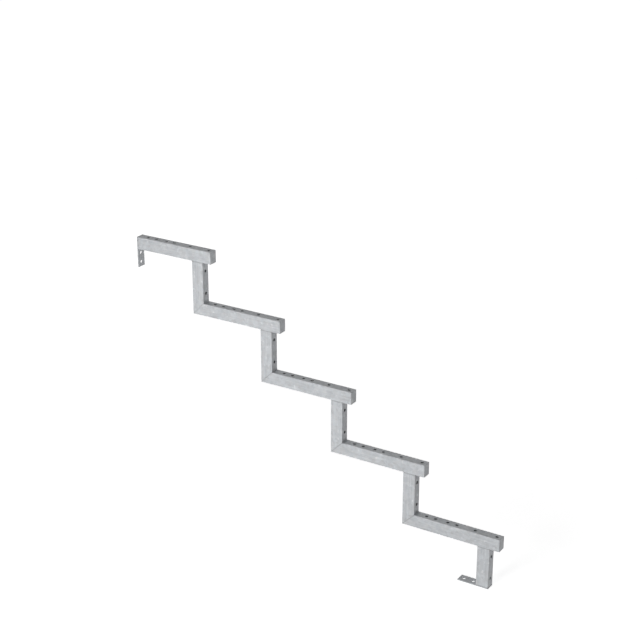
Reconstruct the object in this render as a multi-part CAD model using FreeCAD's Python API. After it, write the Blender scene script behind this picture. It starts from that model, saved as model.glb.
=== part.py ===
import FreeCAD, Part
import math
import os

# Zigzag stair stringer, welded from rectangular steel tube and galvanised.
# Lengths are in millimetres. +X points the way the tread noses point, down the flight.
# +Y is across the stringer and +Z is up.
# The origin is on the floor, midway between the two anchor holes of the floor plate.

# Flight
STEP_COUNT = 5
RISE = 173.0
GOING = 250.0
NOSE = 30.0

# Rectangular tube
TUBE_DEPTH = 40.0
TUBE_WIDTH = 30.0
TUBE_WALL = 2.0
TUBE_CORNER_RADIUS = 1.5

# Plates cut from flat bar
CAP_THICKNESS = 3.0
PLATE_THICKNESS = 3.0
ANCHOR_HOLE = 10.0
ANCHOR_MARGIN = 15.0
ANCHOR_PITCH = 30.0

# Bolt holes for treads and riser boards
BOLT_HOLE = 10.0
NOSE_BOLT_MARGIN = 15.0
REAR_BOLT_MARGIN = 35.0
BOLT_PITCH = 30.0
PAIR_GAP = 40.0
RISER_BOLT_MARGIN = 30.0

# Welds
WELD_GAP = 2.0
WELD_RECESS = 0.3

# Sizes that follow from the ones above
PLATE_REACH = 2 * ANCHOR_MARGIN + ANCHOR_PITCH
FOOT_BACK = ANCHOR_PITCH / 2 + ANCHOR_MARGIN
MITRE_SHIFT = WELD_GAP / math.sqrt(2)

ALONG = FreeCAD.Vector(1, 0, 0)
ACROSS = FreeCAD.Vector(0, 1, 0)
UP = FreeCAD.Vector(0, 0, 1)


def tread_top(step):
    """Height of a tread's bearing face. Step 1 is the highest."""
    return (STEP_COUNT - step + 1) * RISE


def riser_back(step):
    """Position of the rear face of the riser that carries a tread."""
    return FOOT_BACK - (STEP_COUNT - step) * GOING


def riser_front(step):
    return riser_back(step) + TUBE_DEPTH


def tread_nose(step):
    return riser_front(step) + NOSE


def tread_rear(step):
    """Wall plane behind the highest tread, or front face of the riser behind any other."""
    return riser_front(step) - GOING


def section_corners(centre, depth_axis, inset):
    """Corners of the tube's section, drawn in by inset, with its depth along depth_axis."""
    half_depth = depth_axis * (TUBE_DEPTH / 2 - inset)
    half_width = ACROSS * (TUBE_WIDTH / 2 - inset)
    return [
        centre + half_depth + half_width,
        centre - half_depth + half_width,
        centre - half_depth - half_width,
        centre + half_depth - half_width,
    ]


def bore_profile(centre, depth_axis):
    """Inside outline of the tube, with square corners."""
    corners = section_corners(centre, depth_axis, TUBE_WALL)
    return Part.Face(Part.makePolygon(corners + corners[:1]))


def outer_profile(centre, depth_axis, recess=0.0):
    """Outside outline of the tube with its rounded corners, drawn in by recess."""
    corners = section_corners(centre, depth_axis, recess)
    radius = TUBE_CORNER_RADIUS - recess
    edges = []
    for i, corner in enumerate(corners):
        following = corners[(i + 1) % 4]
        back = (corners[i - 1] - corner).normalize() * radius
        ahead = (following - corner).normalize() * radius
        middle = corner + (back + ahead) * (1 - math.sqrt(0.5))
        edges.append(Part.Arc(corner + back, middle, corner + ahead).toShape())
        edges.append(Part.makeLine(corner + ahead, following - ahead))
    return Part.Face(Part.Wire(edges))


def level_bar(profile, x_from, x_to, top, *recess):
    """Profile swept along the going, with the tube's top face at the given height."""
    centre = FreeCAD.Vector(x_from, 0, top - TUBE_DEPTH / 2)
    return profile(centre, UP, *recess).extrude(ALONG * (x_to - x_from))


def upright_bar(profile, back, z_from, z_to, *recess):
    """Profile swept upwards, with the tube's rear face at the given position."""
    centre = FreeCAD.Vector(back + TUBE_DEPTH / 2, 0, z_from)
    return profile(centre, ALONG, *recess).extrude(UP * (z_to - z_from))


def level_tube(x_from, x_to, top, recess=0.0):
    outside = level_bar(outer_profile, x_from, x_to, top, recess)
    return outside.cut(level_bar(bore_profile, x_from, x_to, top))


def upright_tube(back, z_from, z_to, recess=0.0):
    outside = upright_bar(outer_profile, back, z_from, z_to, recess)
    return outside.cut(upright_bar(bore_profile, back, z_from, z_to))


def side_prism(outline):
    """Side-view outline of (x, z) points, swept across the full tube width."""
    points = [FreeCAD.Vector(x, -TUBE_WIDTH / 2, z) for x, z in outline]
    face = Part.Face(Part.makePolygon(points + points[:1]))
    return face.extrude(ACROSS * TUBE_WIDTH)


def drilled(shape, diameter, depth, starts, direction):
    """Shape with a hole of the given depth drilled from each start point."""
    drills = [Part.makeCylinder(diameter / 2, depth, start, direction) for start in starts]
    return shape.cut(drills)


def tread_bolt_positions(step):
    """Two bolts astride the riser below, then two pairs between there and the riser behind."""
    rear_pair = [REAR_BOLT_MARGIN, REAR_BOLT_MARGIN + BOLT_PITCH]
    middle_pair = [distance + BOLT_PITCH + PAIR_GAP for distance in rear_pair]
    behind = [tread_rear(step) + distance for distance in rear_pair + middle_pair]
    astride = [riser_back(step) - NOSE_BOLT_MARGIN, riser_front(step) + NOSE_BOLT_MARGIN]
    return behind + astride


def tread_tube(step):
    """Level tube, square at the nose and the wall, or mitred into the riser behind. Drilled from above."""
    rear = tread_rear(step)
    nose = tread_nose(step)
    top = tread_top(step)
    if step == 1:
        tube = level_tube(rear + PLATE_THICKNESS + WELD_GAP, nose, top)
    else:
        outline = [
            (rear + MITRE_SHIFT, top),
            (nose, top),
            (nose, top - TUBE_DEPTH),
            (rear - TUBE_DEPTH + MITRE_SHIFT, top - TUBE_DEPTH),
        ]
        tube = level_tube(rear - TUBE_DEPTH, nose, top).common(side_prism(outline))
    starts = [FreeCAD.Vector(x, 0, top) for x in tread_bolt_positions(step)]
    return drilled(tube, BOLT_HOLE, TUBE_DEPTH / 2, starts, -UP)


def riser_tube(step):
    """Upright tube, mitred into the next tread or square above the floor plate. Drilled from the front."""
    back = riser_back(step)
    front = riser_front(step)
    ceiling = tread_top(step) - TUBE_DEPTH
    ground = ceiling + TUBE_DEPTH - RISE
    head = ceiling - WELD_GAP
    if step == STEP_COUNT:
        tube = upright_tube(back, ground + PLATE_THICKNESS + WELD_GAP, head)
    else:
        outline = [
            (back, head),
            (front, head),
            (front, ground + MITRE_SHIFT),
            (back, ground - TUBE_DEPTH + MITRE_SHIFT),
        ]
        tube = upright_tube(back, ground - TUBE_DEPTH, head).common(side_prism(outline))
    heights = [ground + RISER_BOLT_MARGIN, ceiling - RISER_BOLT_MARGIN]
    starts = [FreeCAD.Vector(front, 0, z) for z in heights]
    return drilled(tube, BOLT_HOLE, TUBE_DEPTH / 2, starts, -ALONG)


def end_cap(step):
    """Plate let into the nose end of a tread tube, flush with it."""
    nose = tread_nose(step)
    return level_bar(bore_profile, nose - CAP_THICKNESS, nose, tread_top(step))


def corner_weld(step):
    """Butt weld that fills the mitre gap between a riser and the tread in front of it."""
    back = riser_back(step)
    front = riser_front(step)
    top = tread_top(step + 1)
    foot = top - TUBE_DEPTH
    tread_side = [
        (front, top),
        (front + MITRE_SHIFT, top),
        (back + MITRE_SHIFT, foot),
        (back, foot),
    ]
    riser_side = [
        (front, top),
        (front, top + MITRE_SHIFT),
        (back, foot + MITRE_SHIFT),
        (back, foot),
    ]
    level = level_tube(back, front + MITRE_SHIFT, top, WELD_RECESS).common(side_prism(tread_side))
    upright = upright_tube(back, foot, top + MITRE_SHIFT, WELD_RECESS).common(side_prism(riser_side))
    return level.fuse(upright).removeSplitter()


def head_weld(step):
    """Weld between a riser's head and its tread, filled up to the tread's rounded lower edges."""
    ceiling = tread_top(step) - TUBE_DEPTH
    ring = upright_tube(riser_back(step), ceiling - WELD_GAP, ceiling + TUBE_CORNER_RADIUS, WELD_RECESS)
    return ring.cut(level_bar(outer_profile, tread_rear(step), tread_nose(step), tread_top(step)))


def wall_plate():
    """Flat plate across the rear end of the highest tread, hanging below it with two holes."""
    wall = tread_rear(1)
    top = tread_top(1)
    length = TUBE_DEPTH + PLATE_REACH
    corner = FreeCAD.Vector(wall, -TUBE_WIDTH / 2, top - length)
    plate = Part.makeBox(PLATE_THICKNESS, TUBE_WIDTH, length, corner)
    lowest = top - length + ANCHOR_MARGIN
    starts = [FreeCAD.Vector(wall, 0, z) for z in (lowest, lowest + ANCHOR_PITCH)]
    return drilled(plate, ANCHOR_HOLE, PLATE_THICKNESS, starts, ALONG)


def floor_plate():
    """Flat plate under the lowest riser, reaching back behind it with two holes."""
    corner = FreeCAD.Vector(FOOT_BACK - PLATE_REACH, -TUBE_WIDTH / 2, 0)
    plate = Part.makeBox(PLATE_REACH + TUBE_DEPTH, TUBE_WIDTH, PLATE_THICKNESS, corner)
    starts = [FreeCAD.Vector(x, 0, 0) for x in (-ANCHOR_PITCH / 2, ANCHOR_PITCH / 2)]
    return drilled(plate, ANCHOR_HOLE, PLATE_THICKNESS, starts, UP)


def wall_plate_weld():
    start = tread_rear(1) + PLATE_THICKNESS
    return level_tube(start, start + WELD_GAP, tread_top(1), WELD_RECESS)


def floor_plate_weld():
    return upright_tube(FOOT_BACK, PLATE_THICKNESS, PLATE_THICKNESS + WELD_GAP, WELD_RECESS)


nodes = {
    "wall_plate": wall_plate(),
    "wall_plate_weld": wall_plate_weld(),
    "floor_plate": floor_plate(),
    "floor_plate_weld": floor_plate_weld(),
}
for step in range(1, STEP_COUNT + 1):
    nodes["tread_tube_%d" % step] = tread_tube(step)
    nodes["end_cap_%d" % step] = end_cap(step)
    nodes["riser_tube_%d" % step] = riser_tube(step)
    nodes["head_weld_%d" % step] = head_weld(step)
for step in range(1, STEP_COUNT):
    nodes["corner_weld_%d" % step] = corner_weld(step)

os.makedirs("parts", exist_ok=True)
for name, shape in nodes.items():
    shape.Solids[0].exportStep("parts/%s.step" % name)
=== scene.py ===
import math

import bmesh
import bpy
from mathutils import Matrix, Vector


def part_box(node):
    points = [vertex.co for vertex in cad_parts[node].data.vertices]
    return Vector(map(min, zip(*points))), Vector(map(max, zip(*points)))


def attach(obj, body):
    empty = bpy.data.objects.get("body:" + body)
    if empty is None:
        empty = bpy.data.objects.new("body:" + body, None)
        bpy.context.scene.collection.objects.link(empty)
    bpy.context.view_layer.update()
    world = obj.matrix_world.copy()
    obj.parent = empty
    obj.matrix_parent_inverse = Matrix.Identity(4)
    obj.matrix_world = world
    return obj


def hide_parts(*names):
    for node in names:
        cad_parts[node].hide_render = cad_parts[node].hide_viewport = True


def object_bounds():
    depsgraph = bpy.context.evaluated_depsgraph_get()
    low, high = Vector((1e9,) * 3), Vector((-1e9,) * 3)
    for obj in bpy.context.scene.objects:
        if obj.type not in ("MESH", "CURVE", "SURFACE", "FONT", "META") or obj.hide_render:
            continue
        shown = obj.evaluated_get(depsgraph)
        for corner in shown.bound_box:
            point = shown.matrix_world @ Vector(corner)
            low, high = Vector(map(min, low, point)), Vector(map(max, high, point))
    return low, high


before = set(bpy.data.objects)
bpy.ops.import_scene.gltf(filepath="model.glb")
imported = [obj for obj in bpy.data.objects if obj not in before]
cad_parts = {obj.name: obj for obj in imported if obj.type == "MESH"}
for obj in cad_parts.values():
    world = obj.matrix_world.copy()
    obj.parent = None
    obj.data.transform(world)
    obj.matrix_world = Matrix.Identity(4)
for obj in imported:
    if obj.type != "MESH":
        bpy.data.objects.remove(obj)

cad_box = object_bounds()

# Lengths are in metres unless a name ends in _MM. Scales of patterns are in features to the metre.

# Camera at the photograph's viewing angle
AZIMUTH = math.radians(31.7872)
ELEVATION = math.radians(21.9117)
DISTANCE = 4.4803
AIM = Vector((-0.508, -0.015, 0.728))
LENS_MM = 85.846
SENSOR_MM = 36.0

X_INDEX = 0
Z_INDEX = 2
X_AXIS = Vector((1.0, 0.0, 0.0))
Y_AXIS = Vector((0.0, 1.0, 0.0))
Z_AXIS = Vector((0.0, 0.0, 1.0))
DIAGONAL = Vector((1.0, 0.0, 1.0)).normalized()
MITRE_NORMAL = Vector((1.0, 0.0, -1.0)).normalized()
MITRE_STRETCH = math.sqrt(2)


def middle_of(name):
    low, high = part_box(name)
    return (low + high) / 2


def size_of(name):
    low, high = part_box(name)
    return high - low


# Outside of the tube, which the weld beads follow
HALF_DEPTH = size_of("tread_tube_1").z / 2
HALF_WIDTH = size_of("tread_tube_1").y / 2
CORNER = 0.0015
CORNER_FACETS = 8

# Section of a weld bead: its toes lie below the tube's surface, its crown rises almost flush with it
WELD_GAP = size_of("floor_plate_weld").z
BEAD_TOE = 0.00034
BEAD_CROWN = 0.00028
BEAD_ROOT = 0.0010
BEAD_NOSE = 0.0004
BEAD_ROWS = 6
BEAD_STEP = 0.00035
SHARP_ANGLE = math.radians(60)

# Ripples of the weld pool: length, share of the crown, share of the painted shade in their troughs, lean
# of each arc, and uneven travel of the torch
RIPPLE = 0.0014
RIPPLE_DEPTH = 0.55
RIPPLE_SHADE = 0.40
RIPPLE_LEAN = 1.4
SLOW_WAVES = 5
SLOW_WANDER = 0.7
SLOW_START = 1.0
FAST_WAVES = 13
FAST_WANDER = 0.5

# Zinc, from its dullest patch to its palest bloom
ZINC = (
    (0.00, (0.385, 0.397, 0.414, 1.0)),
    (0.35, (0.490, 0.504, 0.523, 1.0)),
    (0.60, (0.548, 0.563, 0.583, 1.0)),
    (1.00, (0.690, 0.701, 0.715, 1.0)),
)
WELD_ZINC = (
    (0.00, (0.230, 0.235, 0.242, 1.0)),
    (0.50, (0.385, 0.394, 0.407, 1.0)),
    (1.00, (0.500, 0.512, 0.528, 1.0)),
)
TINT = (
    (0.00, (1.000, 0.990, 0.975, 1.0)),
    (0.50, (0.992, 0.995, 0.995, 1.0)),
    (1.00, (0.978, 0.994, 1.000, 1.0)),
)
METALLIC = 0.2
MID_GREY = (0.5, 0.5, 0.5)

# Crystals of the zinc
CRYSTAL_SCALE = 120.0
CRYSTAL_SQUEEZE = 0.8
CRYSTAL_TILT = 0.05
BORDER_SCALE = 190.0
BORDER_REACH = 0.008
FEATHER_SCALE = (130.0, 900.0, 900.0)
FULL_TURN = 6.28

# Patterns on top of the crystals
STREAK_SCALE_ALONG = 11.0
STREAK_SCALE_ACROSS = 260.0
CLOUD_SCALE = 42.0
BLOOM_SCALE = 66.0
BLOOM_NONE = 0.64
BLOOM_FULL = 0.76
SPECK_SCALE = 520.0
GRAIN_SCALE = 1100.0
# Painted shade in inside corners, from an ambient-occlusion mask
CORNER_SHADE_REACH = 0.014
CORNER_SHADE_FULL = 0.55
CORNER_SHADE_NONE = 0.95
CORNER_SHADE_SAMPLES = 8
EDGE_RADIUS = 0.0012
EDGE_FULL = 0.80
EDGE_NONE = 0.995
EDGE_SAMPLES = 6

# What each pattern adds to the zinc's tone, roughness and relief
TONE_SHARES = {
    "shade": 0.32, "streak": 0.80, "cloud": 0.60, "feather": 0.30, "speck": 0.25,
    "bloom": 0.45, "edge": 0.10,
}
PLAIN_ROUGHNESS = 0.29
ROUGHNESS_SHARES = {"gloss": 0.16, "cloud": 0.20, "feather": 0.10, "edge": -0.05}
RELIEF_SHARES = {"streak": 0.5, "feather": 0.2, "grain": 0.1}
RELIEF_STRENGTH = 0.35
RELIEF_HEIGHT = 0.0004

# Zinc over the welds
WELD_LUMP_SCALE = 260.0
WELD_GRAIN_SCALE = 1500.0
WELD_TONE_SHARES = {"crest": 0.60, "lump": 0.70, "grain": 0.25}
WELD_GRAIN_LOW = 0.3
WELD_GRAIN_HIGH = 0.7
WELD_SMOOTHEST = 0.48
WELD_ROUGHEST = 0.72
WELD_RELIEF_STRENGTH = 0.3
WELD_RELIEF_HEIGHT = 0.0003

# Floor and world
FLOOR_LEVEL = -0.0002
FLOOR_HALF = 30.0
FLOOR_WHITE = (0.95, 0.95, 0.95, 1.0)
FLOOR_CENTRE = ((cad_box[0][0] + cad_box[1][0]) / 2, 0.0, 0.0)
GLOW_NEAR = 0.7
GLOW_FAR = 3.0
NEAR_GLOW = 0.75
FAR_GLOW = 0.88
AMBIENT = 0.17
WHITE = (1.0, 1.0, 1.0, 1.0)


class Nodes:
    """Adds nodes to a tree. An input is a plain value or another node's output."""

    def __init__(self, tree):
        self.tree = tree
        tree.nodes.clear()

    def add(self, kind, inputs=None, **settings):
        node = self.tree.nodes.new(kind)
        for key, value in settings.items():
            setattr(node, key, value)
        for key, value in (inputs or {}).items():
            if isinstance(value, bpy.types.NodeSocket):
                self.tree.links.new(value, node.inputs[key])
            else:
                node.inputs[key].default_value = value
        return node

    def math(self, operation, first, second):
        return self.add("ShaderNodeMath", {0: first, 1: second}, operation=operation).outputs[0]

    def vector(self, operation, first, second):
        node = self.add("ShaderNodeVectorMath", {0: first, 1: second}, operation=operation)
        return node.outputs["Value" if operation in ("DOT_PRODUCT", "LENGTH") else "Vector"]

    def scaled(self, vector, scale):
        node = self.add("ShaderNodeVectorMath", {0: vector, "Scale": scale}, operation="SCALE")
        return node.outputs["Vector"]

    def noise(self, place, scale, detail=2.0, roughness=0.5, output="Fac"):
        inputs = {"Vector": place, "Scale": scale, "Detail": detail, "Roughness": roughness}
        return self.add("ShaderNodeTexNoise", inputs).outputs[output]

    def spread(self, value, low, high, to_low, to_high):
        inputs = {"Value": value, "From Min": low, "From Max": high, "To Min": to_low, "To Max": to_high}
        return self.add("ShaderNodeMapRange", inputs).outputs["Result"]

    def blend_sum(self, start, patterns, shares):
        """A starting value plus each named pattern times its share."""
        total = start
        for name, share in shares.items():
            total = self.math("ADD", self.math("MULTIPLY", patterns[name], share), total)
        return total

    def ramp(self, value, stops):
        node = self.add("ShaderNodeValToRGB", {"Fac": value})
        elements = node.color_ramp.elements
        while len(elements) < len(stops):
            elements.new(0.5)
        for element, (position, colour) in zip(elements, stops):
            element.position = position
            element.color = colour
        return node.outputs["Color"]

    def tinted(self, colour, tint):
        """Colour times tint. The mix node's colour sockets share their names, so they go by number."""
        inputs = {0: 1.0, 6: colour, 7: tint}
        return self.add("ShaderNodeMix", inputs, data_type="RGBA", blend_type="MULTIPLY").outputs[2]

    def finish(self, colour, roughness, bump):
        inputs = {
            "Base Color": colour,
            "Roughness": roughness,
            "Normal": bump.outputs["Normal"],
            "Metallic": METALLIC,
        }
        shader = self.add("ShaderNodeBsdfPrincipled", inputs)
        self.add("ShaderNodeOutputMaterial", {"Surface": shader.outputs["BSDF"]})


def new_graph(name):
    material = bpy.data.materials.new(name)
    material.use_nodes = True
    return material, Nodes(material.node_tree)


def along_axis(axis, along, across):
    return tuple(along if i == axis else across for i in range(3))


def crystals(graph, place, axis):
    """One colour to each crystal. Their borders are ragged, and they are a little longer along axis."""
    noise = graph.noise(place, BORDER_SCALE, detail=3.0, roughness=0.6, output="Color")
    ragged = graph.vector("SUBTRACT", noise, MID_GREY)
    bent = graph.vector("ADD", place, graph.scaled(ragged, BORDER_REACH))
    drawn = graph.vector("MULTIPLY", bent, along_axis(axis, CRYSTAL_SQUEEZE, 1.0))
    return graph.add("ShaderNodeTexVoronoi", {"Vector": drawn, "Scale": CRYSTAL_SCALE}).outputs["Color"]


def feathers(graph, place, lean, hue):
    """Feathering inside each crystal, turned its own way."""
    turn = graph.math("MULTIPLY", hue, FULL_TURN)
    turned = graph.add("ShaderNodeVectorRotate", {"Vector": place, "Axis": lean, "Angle": turn})
    return graph.noise(graph.vector("MULTIPLY", turned.outputs["Vector"], FEATHER_SCALE), 1.0)


def streaks(graph, place, axis):
    """Streaks left as the zinc ran off along the tube."""
    scale = along_axis(axis, STREAK_SCALE_ALONG, STREAK_SCALE_ACROSS)
    return graph.noise(graph.vector("MULTIPLY", place, scale), 1.0, roughness=0.6)


def blooms(graph, place):
    noise = graph.noise(place, BLOOM_SCALE, detail=1.0)
    return graph.spread(noise, BLOOM_NONE, BLOOM_FULL, 0.0, 1.0)


def painted_shade_in_corners(graph):
    """Painted shade in the inside corners, where ambient occlusion finds them."""
    inputs = {"Distance": CORNER_SHADE_REACH}
    open_air = graph.add("ShaderNodeAmbientOcclusion", inputs, samples=CORNER_SHADE_SAMPLES).outputs["AO"]
    return graph.spread(open_air, CORNER_SHADE_FULL, CORNER_SHADE_NONE, 1.0, 0.0)


def worn_and_highlit_edges(graph, rounded):
    """Edges, where the coat is thicker and rubbed bright, and a painted highlight runs along them."""
    surface = graph.add("ShaderNodeNewGeometry").outputs["Normal"]
    agreement = graph.vector("DOT_PRODUCT", rounded, surface)
    return graph.spread(agreement, EDGE_FULL, EDGE_NONE, 1.0, 0.0)


def galvanised(name, axis, lift, shade_strength):
    """Hot-dip zinc: crystals of different tilt, streaks, pale blooms, specks of ash, worn edges with a
    painted highlight, and painted shade in inside corners.

    The streaks run along axis, and without one they are a fine mottle. lift makes the whole coat
    paler, and the last argument sets how far painted shade darkens the inside corners.
    """
    material, graph = new_graph(name)
    place = graph.add("ShaderNodeTexCoord").outputs["Object"]
    rounded = graph.add("ShaderNodeBevel", {"Radius": EDGE_RADIUS}, samples=EDGE_SAMPLES).outputs["Normal"]
    crystal = crystals(graph, place, axis)
    lean = graph.vector("SUBTRACT", crystal, MID_GREY)
    part = graph.add("ShaderNodeSeparateColor", {"Color": crystal}).outputs
    hue = part["Blue"]
    patterns = {
        "shade": part["Red"],
        "gloss": part["Green"],
        "feather": feathers(graph, place, lean, hue),
        "streak": streaks(graph, place, axis),
        "cloud": graph.noise(place, CLOUD_SCALE, detail=3.0, roughness=0.6),
        "bloom": blooms(graph, place),
        "speck": graph.noise(place, SPECK_SCALE, roughness=0.6),
        "grain": graph.noise(place, GRAIN_SCALE),
        "occluded_shade": painted_shade_in_corners(graph),
        # Edges: rubbed coat and a painted highlight.
        "edge": worn_and_highlit_edges(graph, rounded),
    }
    # Painted shade darkens the tone in inside corners.
    tone = graph.blend_sum(lift, patterns, {**TONE_SHARES, "occluded_shade": -shade_strength})
    colour = graph.tinted(graph.ramp(tone, ZINC), graph.ramp(hue, TINT))
    bump = graph.add("ShaderNodeBump", {
        "Height": graph.blend_sum(0.0, patterns, RELIEF_SHARES),
        "Strength": RELIEF_STRENGTH,
        "Distance": RELIEF_HEIGHT,
        "Normal": graph.vector("ADD", rounded, graph.scaled(lean, CRYSTAL_TILT)),
    })
    graph.finish(colour, graph.blend_sum(PLAIN_ROUGHNESS, patterns, ROUGHNESS_SHARES), bump)
    return material


def weld_seam(name, lift):
    """Zinc over a weld: duller, darker and lumpy. It is darkest in the hollows at its toes and in the
    ripples' troughs, which is painted shade.
    """
    material, graph = new_graph(name)
    place = graph.add("ShaderNodeTexCoord").outputs["Object"]
    grain = graph.noise(place, WELD_GRAIN_SCALE)
    patterns = {
        "crest": graph.add("ShaderNodeAttribute", attribute_name="crest").outputs["Fac"],
        "lump": graph.noise(place, WELD_LUMP_SCALE),
        "grain": grain,
    }
    tone = graph.blend_sum(lift, patterns, WELD_TONE_SHARES)
    roughness = graph.spread(grain, WELD_GRAIN_LOW, WELD_GRAIN_HIGH, WELD_SMOOTHEST, WELD_ROUGHEST)
    inputs = {"Height": grain, "Strength": WELD_RELIEF_STRENGTH, "Distance": WELD_RELIEF_HEIGHT}
    graph.finish(graph.ramp(tone, WELD_ZINC), roughness, graph.add("ShaderNodeBump", inputs))
    return material


# The last argument of each coat sets how far painted shade darkens its inside corners.
level_zinc = galvanised("zinc_along_tread", X_INDEX, lift=-0.720, shade_strength=0.60)
upright_zinc = galvanised("zinc_along_riser", Z_INDEX, lift=-0.700, shade_strength=0.85)
pale_upright_zinc = galvanised("zinc_along_lowest_riser", Z_INDEX, lift=-0.610, shade_strength=0.20)
cap_zinc = galvanised("zinc_cap", None, lift=-0.740, shade_strength=0.0)
# The plates' coat is set darker than the tubes' as painted shade.
plate_zinc = galvanised("zinc_plate", None, lift=-0.930, shade_strength=0.0)
seam_zinc = weld_seam("zinc_weld", lift=-0.30)
faint_seam_zinc = weld_seam("zinc_faint_weld", lift=0.0)


def zinc_for(name):
    """The coat of a named piece. The lowest riser and the first mitre's seam are paler than their like."""
    if name == "corner_weld_1":
        return faint_seam_zinc
    if name == "riser_tube_5":
        return pale_upright_zinc
    if "weld" in name:
        return seam_zinc
    if name.startswith("tread"):
        return level_zinc
    if name.startswith("riser"):
        return upright_zinc
    if name.startswith("end_cap"):
        return cap_zinc
    return plate_zinc


def dress(piece, material):
    piece.data.materials.clear()
    piece.data.materials.append(material)


for name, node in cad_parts.items():
    dress(node, zinc_for(name))


def ring_path(half_long, corner_long):
    """Closed path round the outside of a cut tube: points and outward directions, as (long, across)."""
    turns = []
    for quarter in range(4):
        middle = (quarter + 0.5) * math.pi / 2
        hub = Vector((
            math.copysign(half_long - corner_long, math.cos(middle)),
            math.copysign(HALF_WIDTH - CORNER, math.sin(middle)),
        ))
        for i in range(CORNER_FACETS + 1):
            angle = (quarter + i / CORNER_FACETS) * math.pi / 2
            arm = Vector((corner_long * math.cos(angle), CORNER * math.sin(angle)))
            outward = Vector((CORNER * math.cos(angle), corner_long * math.sin(angle)))
            turns.append((hub + arm, outward.normalized()))
    path = []
    for (start, facing), (end, next_facing) in zip(turns, turns[1:] + turns[:1]):
        count = max(1, round((end - start).length / BEAD_STEP))
        for i in range(count):
            path.append((start.lerp(end, i / count), facing.lerp(next_facing, i / count).normalized()))
    return path


def ripple_at(turn, ripples, crown):
    """Height of the ripples, 0 to 1, at an angle round the joint. They trail behind at the crown."""
    slow = SLOW_WANDER * math.sin(SLOW_WAVES * turn + SLOW_START)
    fast = FAST_WANDER * math.sin(FAST_WAVES * turn)
    return 0.5 + 0.5 * math.cos(ripples * turn + slow + fast + RIPPLE_LEAN * crown)


def bead_section(near, far, turn, ripples):
    """Closed section of a bead from toe to toe and back by its root, as (along, height, crest)."""
    section = []
    for row in range(BEAD_ROWS + 1):
        share = row / BEAD_ROWS
        crown = 4 * share * (1 - share)
        ripple = ripple_at(turn, ripples, crown)
        height = BEAD_CROWN * crown * (1 - RIPPLE_DEPTH + RIPPLE_DEPTH * ripple) - BEAD_TOE
        # crest falls to nothing at the toes and in the ripples' troughs, and this darkens them as painted
        # shade.
        crest = crown * (1 - RIPPLE_SHADE + RIPPLE_SHADE * ripple)
        section.append((near + (far - near) * share, height, crest))
    return section + [(far, -BEAD_ROOT, 0.0), (near, -BEAD_ROOT, 0.0)]


def ring_faces(loops, width):
    """Faces between neighbouring loops of a closed ring, each loop with the given number of points."""
    faces = []
    for i in range(loops):
        here = i * width
        there = (i + 1) % loops * width
        for j in range(width):
            k = (j + 1) % width
            faces.append((here + j, there + j, there + k, here + k))
    return faces


def bead_mesh(name, vertices, faces, crests):
    mesh = bpy.data.meshes.new(name)
    mesh.from_pydata(vertices, [], faces)
    shape = bmesh.new()
    shape.from_mesh(mesh)
    bmesh.ops.recalc_face_normals(shape, faces=shape.faces)
    shape.to_mesh(mesh)
    shape.free()
    mesh.attributes.new("crest", "FLOAT", "POINT").data.foreach_set("value", crests)
    mesh.shade_smooth()
    mesh.set_sharp_from_angle(angle=SHARP_ANGLE)
    return mesh


def weld_bead(name, centre, long_axis, stretch, through, toes):
    """Rippled bead round a joint, in place of the plain ring of the named node.

    toes(point, outward) gives where the bead starts and ends along through. Across a mitre, whose
    outline is stretched, both tubes slant away from the joint along long_axis.
    """
    path = ring_path(HALF_DEPTH * stretch, CORNER * stretch)
    steps = [(b[0] - a[0]).length for a, b in zip(path, path[1:] + path[:1])]
    length = sum(steps)
    ripples = round(length / RIPPLE)
    slant = 1.0 if stretch > 1.0 else 0.0
    vertices = []
    crests = []
    gone = 0.0
    for (point, outward), step in zip(path, steps):
        base = centre + long_axis * point.x + Y_AXIS * point.y
        out = long_axis * outward.x + Y_AXIS * outward.y
        near, far = toes(point, outward)
        for along, height, crest in bead_section(near, far, 2 * math.pi * gone / length, ripples):
            slide = long_axis * slant * math.hypot(along, BEAD_NOSE)
            vertices.append(base + slide + through * along + out * height)
            crests.append(crest)
        gone += step
    faces = ring_faces(len(path), len(vertices) // len(path))
    piece = bpy.data.objects.new(name + "_bead", bead_mesh(name + "_bead", vertices, faces, crests))
    bpy.context.collection.objects.link(piece)
    dress(piece, zinc_for(name))
    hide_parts(name)
    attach(piece, "root")


def even_toes(point, outward):
    return -WELD_GAP / 2, WELD_GAP / 2


def head_toes(point, outward):
    """From the riser's head up to the tread, whose lower edges are rounded."""
    past = max(0.0, abs(point.y) - BEAD_TOE * abs(outward.y) - HALF_WIDTH + CORNER)
    return -WELD_GAP, CORNER - math.sqrt(CORNER ** 2 - past ** 2)


for name in list(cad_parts):
    step = name[-1]
    if name == "wall_plate_weld":
        weld_bead(name, middle_of(name), Z_AXIS, 1.0, X_AXIS, even_toes)
    elif name == "floor_plate_weld":
        weld_bead(name, middle_of(name), X_AXIS, 1.0, Z_AXIS, even_toes)
    elif name.startswith("head_weld"):
        centre = middle_of(name)
        centre.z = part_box("tread_tube_" + step)[0][2]
        weld_bead(name, centre, X_AXIS, 1.0, Z_AXIS, head_toes)
    elif name.startswith("corner_weld"):
        centre = middle_of("riser_tube_" + step)
        centre.z = middle_of("tread_tube_%d" % (int(step) + 1)).z
        weld_bead(name, centre, DIAGONAL, MITRE_STRETCH, MITRE_NORMAL, even_toes)


def seen_directly(graph):
    """1 for camera, glossy and transmission rays, which show the background."""
    path = graph.add("ShaderNodeLightPath").outputs
    first = graph.math("MAXIMUM", path["Is Camera Ray"], path["Is Glossy Ray"])
    return graph.math("MAXIMUM", first, path["Is Transmission Ray"])


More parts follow.
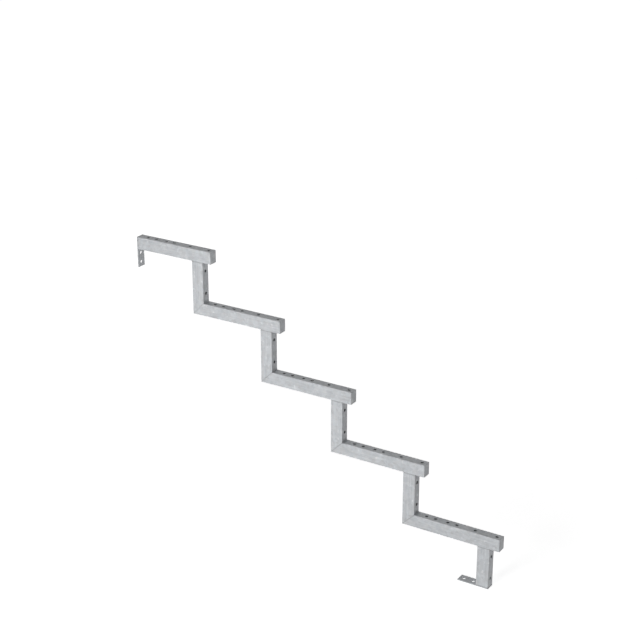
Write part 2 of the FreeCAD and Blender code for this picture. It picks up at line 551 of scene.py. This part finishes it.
# White floor that keeps the object's shadow. From below it is clear, so the underside can be seen.
# The lamps brighten it most near the object, so there it glows less.
floor_mesh = bpy.data.meshes.new("floor")
corners = [(x * FLOOR_HALF, y * FLOOR_HALF, FLOOR_LEVEL) for x, y in ((-1, -1), (1, -1), (1, 1), (-1, 1))]
floor_mesh.from_pydata(corners, [], [(0, 1, 2, 3)])
floor = bpy.data.objects.new("floor", floor_mesh)
bpy.context.collection.objects.link(floor)
floor_material, graph = new_graph("floor_white")
matte = graph.add("ShaderNodeBsdfDiffuse", {"Color": FLOOR_WHITE})
apart = graph.vector("SUBTRACT", graph.add("ShaderNodeTexCoord").outputs["Object"], FLOOR_CENTRE)
reach = graph.vector("LENGTH", apart, (0.0, 0.0, 0.0))
glow = graph.spread(reach, GLOW_NEAR, GLOW_FAR, NEAR_GLOW, FAR_GLOW)
light = graph.add("ShaderNodeEmission", {"Strength": graph.math("MULTIPLY", seen_directly(graph), glow)})
both = graph.add("ShaderNodeAddShader", {0: matte.outputs["BSDF"], 1: light.outputs["Emission"]})
below = graph.add("ShaderNodeNewGeometry").outputs["Backfacing"]
clear = graph.add("ShaderNodeBsdfTransparent")
sides = graph.add("ShaderNodeMixShader", {0: below, 1: both.outputs["Shader"], 2: clear.outputs["BSDF"]})
graph.add("ShaderNodeOutputMaterial", {"Surface": sides.outputs["Shader"]})
floor_mesh.materials.append(floor_material)

# Soft studio light
world = bpy.data.worlds.new("studio")
bpy.context.scene.world = world
world.use_nodes = True
graph = Nodes(world.node_tree)
level = graph.spread(seen_directly(graph), 0.0, 1.0, AMBIENT, 1.0)
sky = graph.add("ShaderNodeBackground", {"Color": WHITE, "Strength": level})
graph.add("ShaderNodeOutputWorld", {"Surface": sky.outputs["Background"]})


def area_lamp(name, place, aim, width, height, power):
    data = bpy.data.lights.new(name, "AREA")
    data.shape = "ELLIPSE"
    data.size = width
    data.size_y = height
    data.energy = power
    lamp = bpy.data.objects.new(name, data)
    lamp.location = place
    lamp.rotation_euler = (Vector(aim) - Vector(place)).to_track_quat("-Z", "Y").to_euler()
    bpy.context.collection.objects.link(lamp)


area_lamp("key", (-0.72, -3.4, 0.95), (-0.62, 0.0, 0.60), width=1.8, height=1.8, power=74.0)
area_lamp("fill", (9.0, -2.0, 1.4), (-0.5, 0.0, 0.5), width=3.0, height=3.0, power=49.0)
area_lamp("back", (-0.75, 4.2, 0.09), (-0.5, 0.0, 0.09), width=1.4, height=0.16, power=52.0)
area_lamp("left", (-5.0, 1.2, 0.20), (-0.5, 0.0, 0.20), width=2.4, height=0.36, power=36.0)

camera_data = bpy.data.cameras.new("camera")
camera_data.lens = LENS_MM
camera_data.sensor_width = SENSOR_MM
camera = bpy.data.objects.new("camera", camera_data)
back = Vector((
    math.sin(AZIMUTH) * math.cos(ELEVATION),
    -math.cos(AZIMUTH) * math.cos(ELEVATION),
    math.sin(ELEVATION),
))
camera.location = AIM + DISTANCE * back
camera.rotation_euler = (-back).to_track_quat("-Z", "Y").to_euler()
bpy.context.collection.objects.link(camera)
bpy.context.scene.camera = camera
bpy.context.scene.view_settings.view_transform = "Standard"
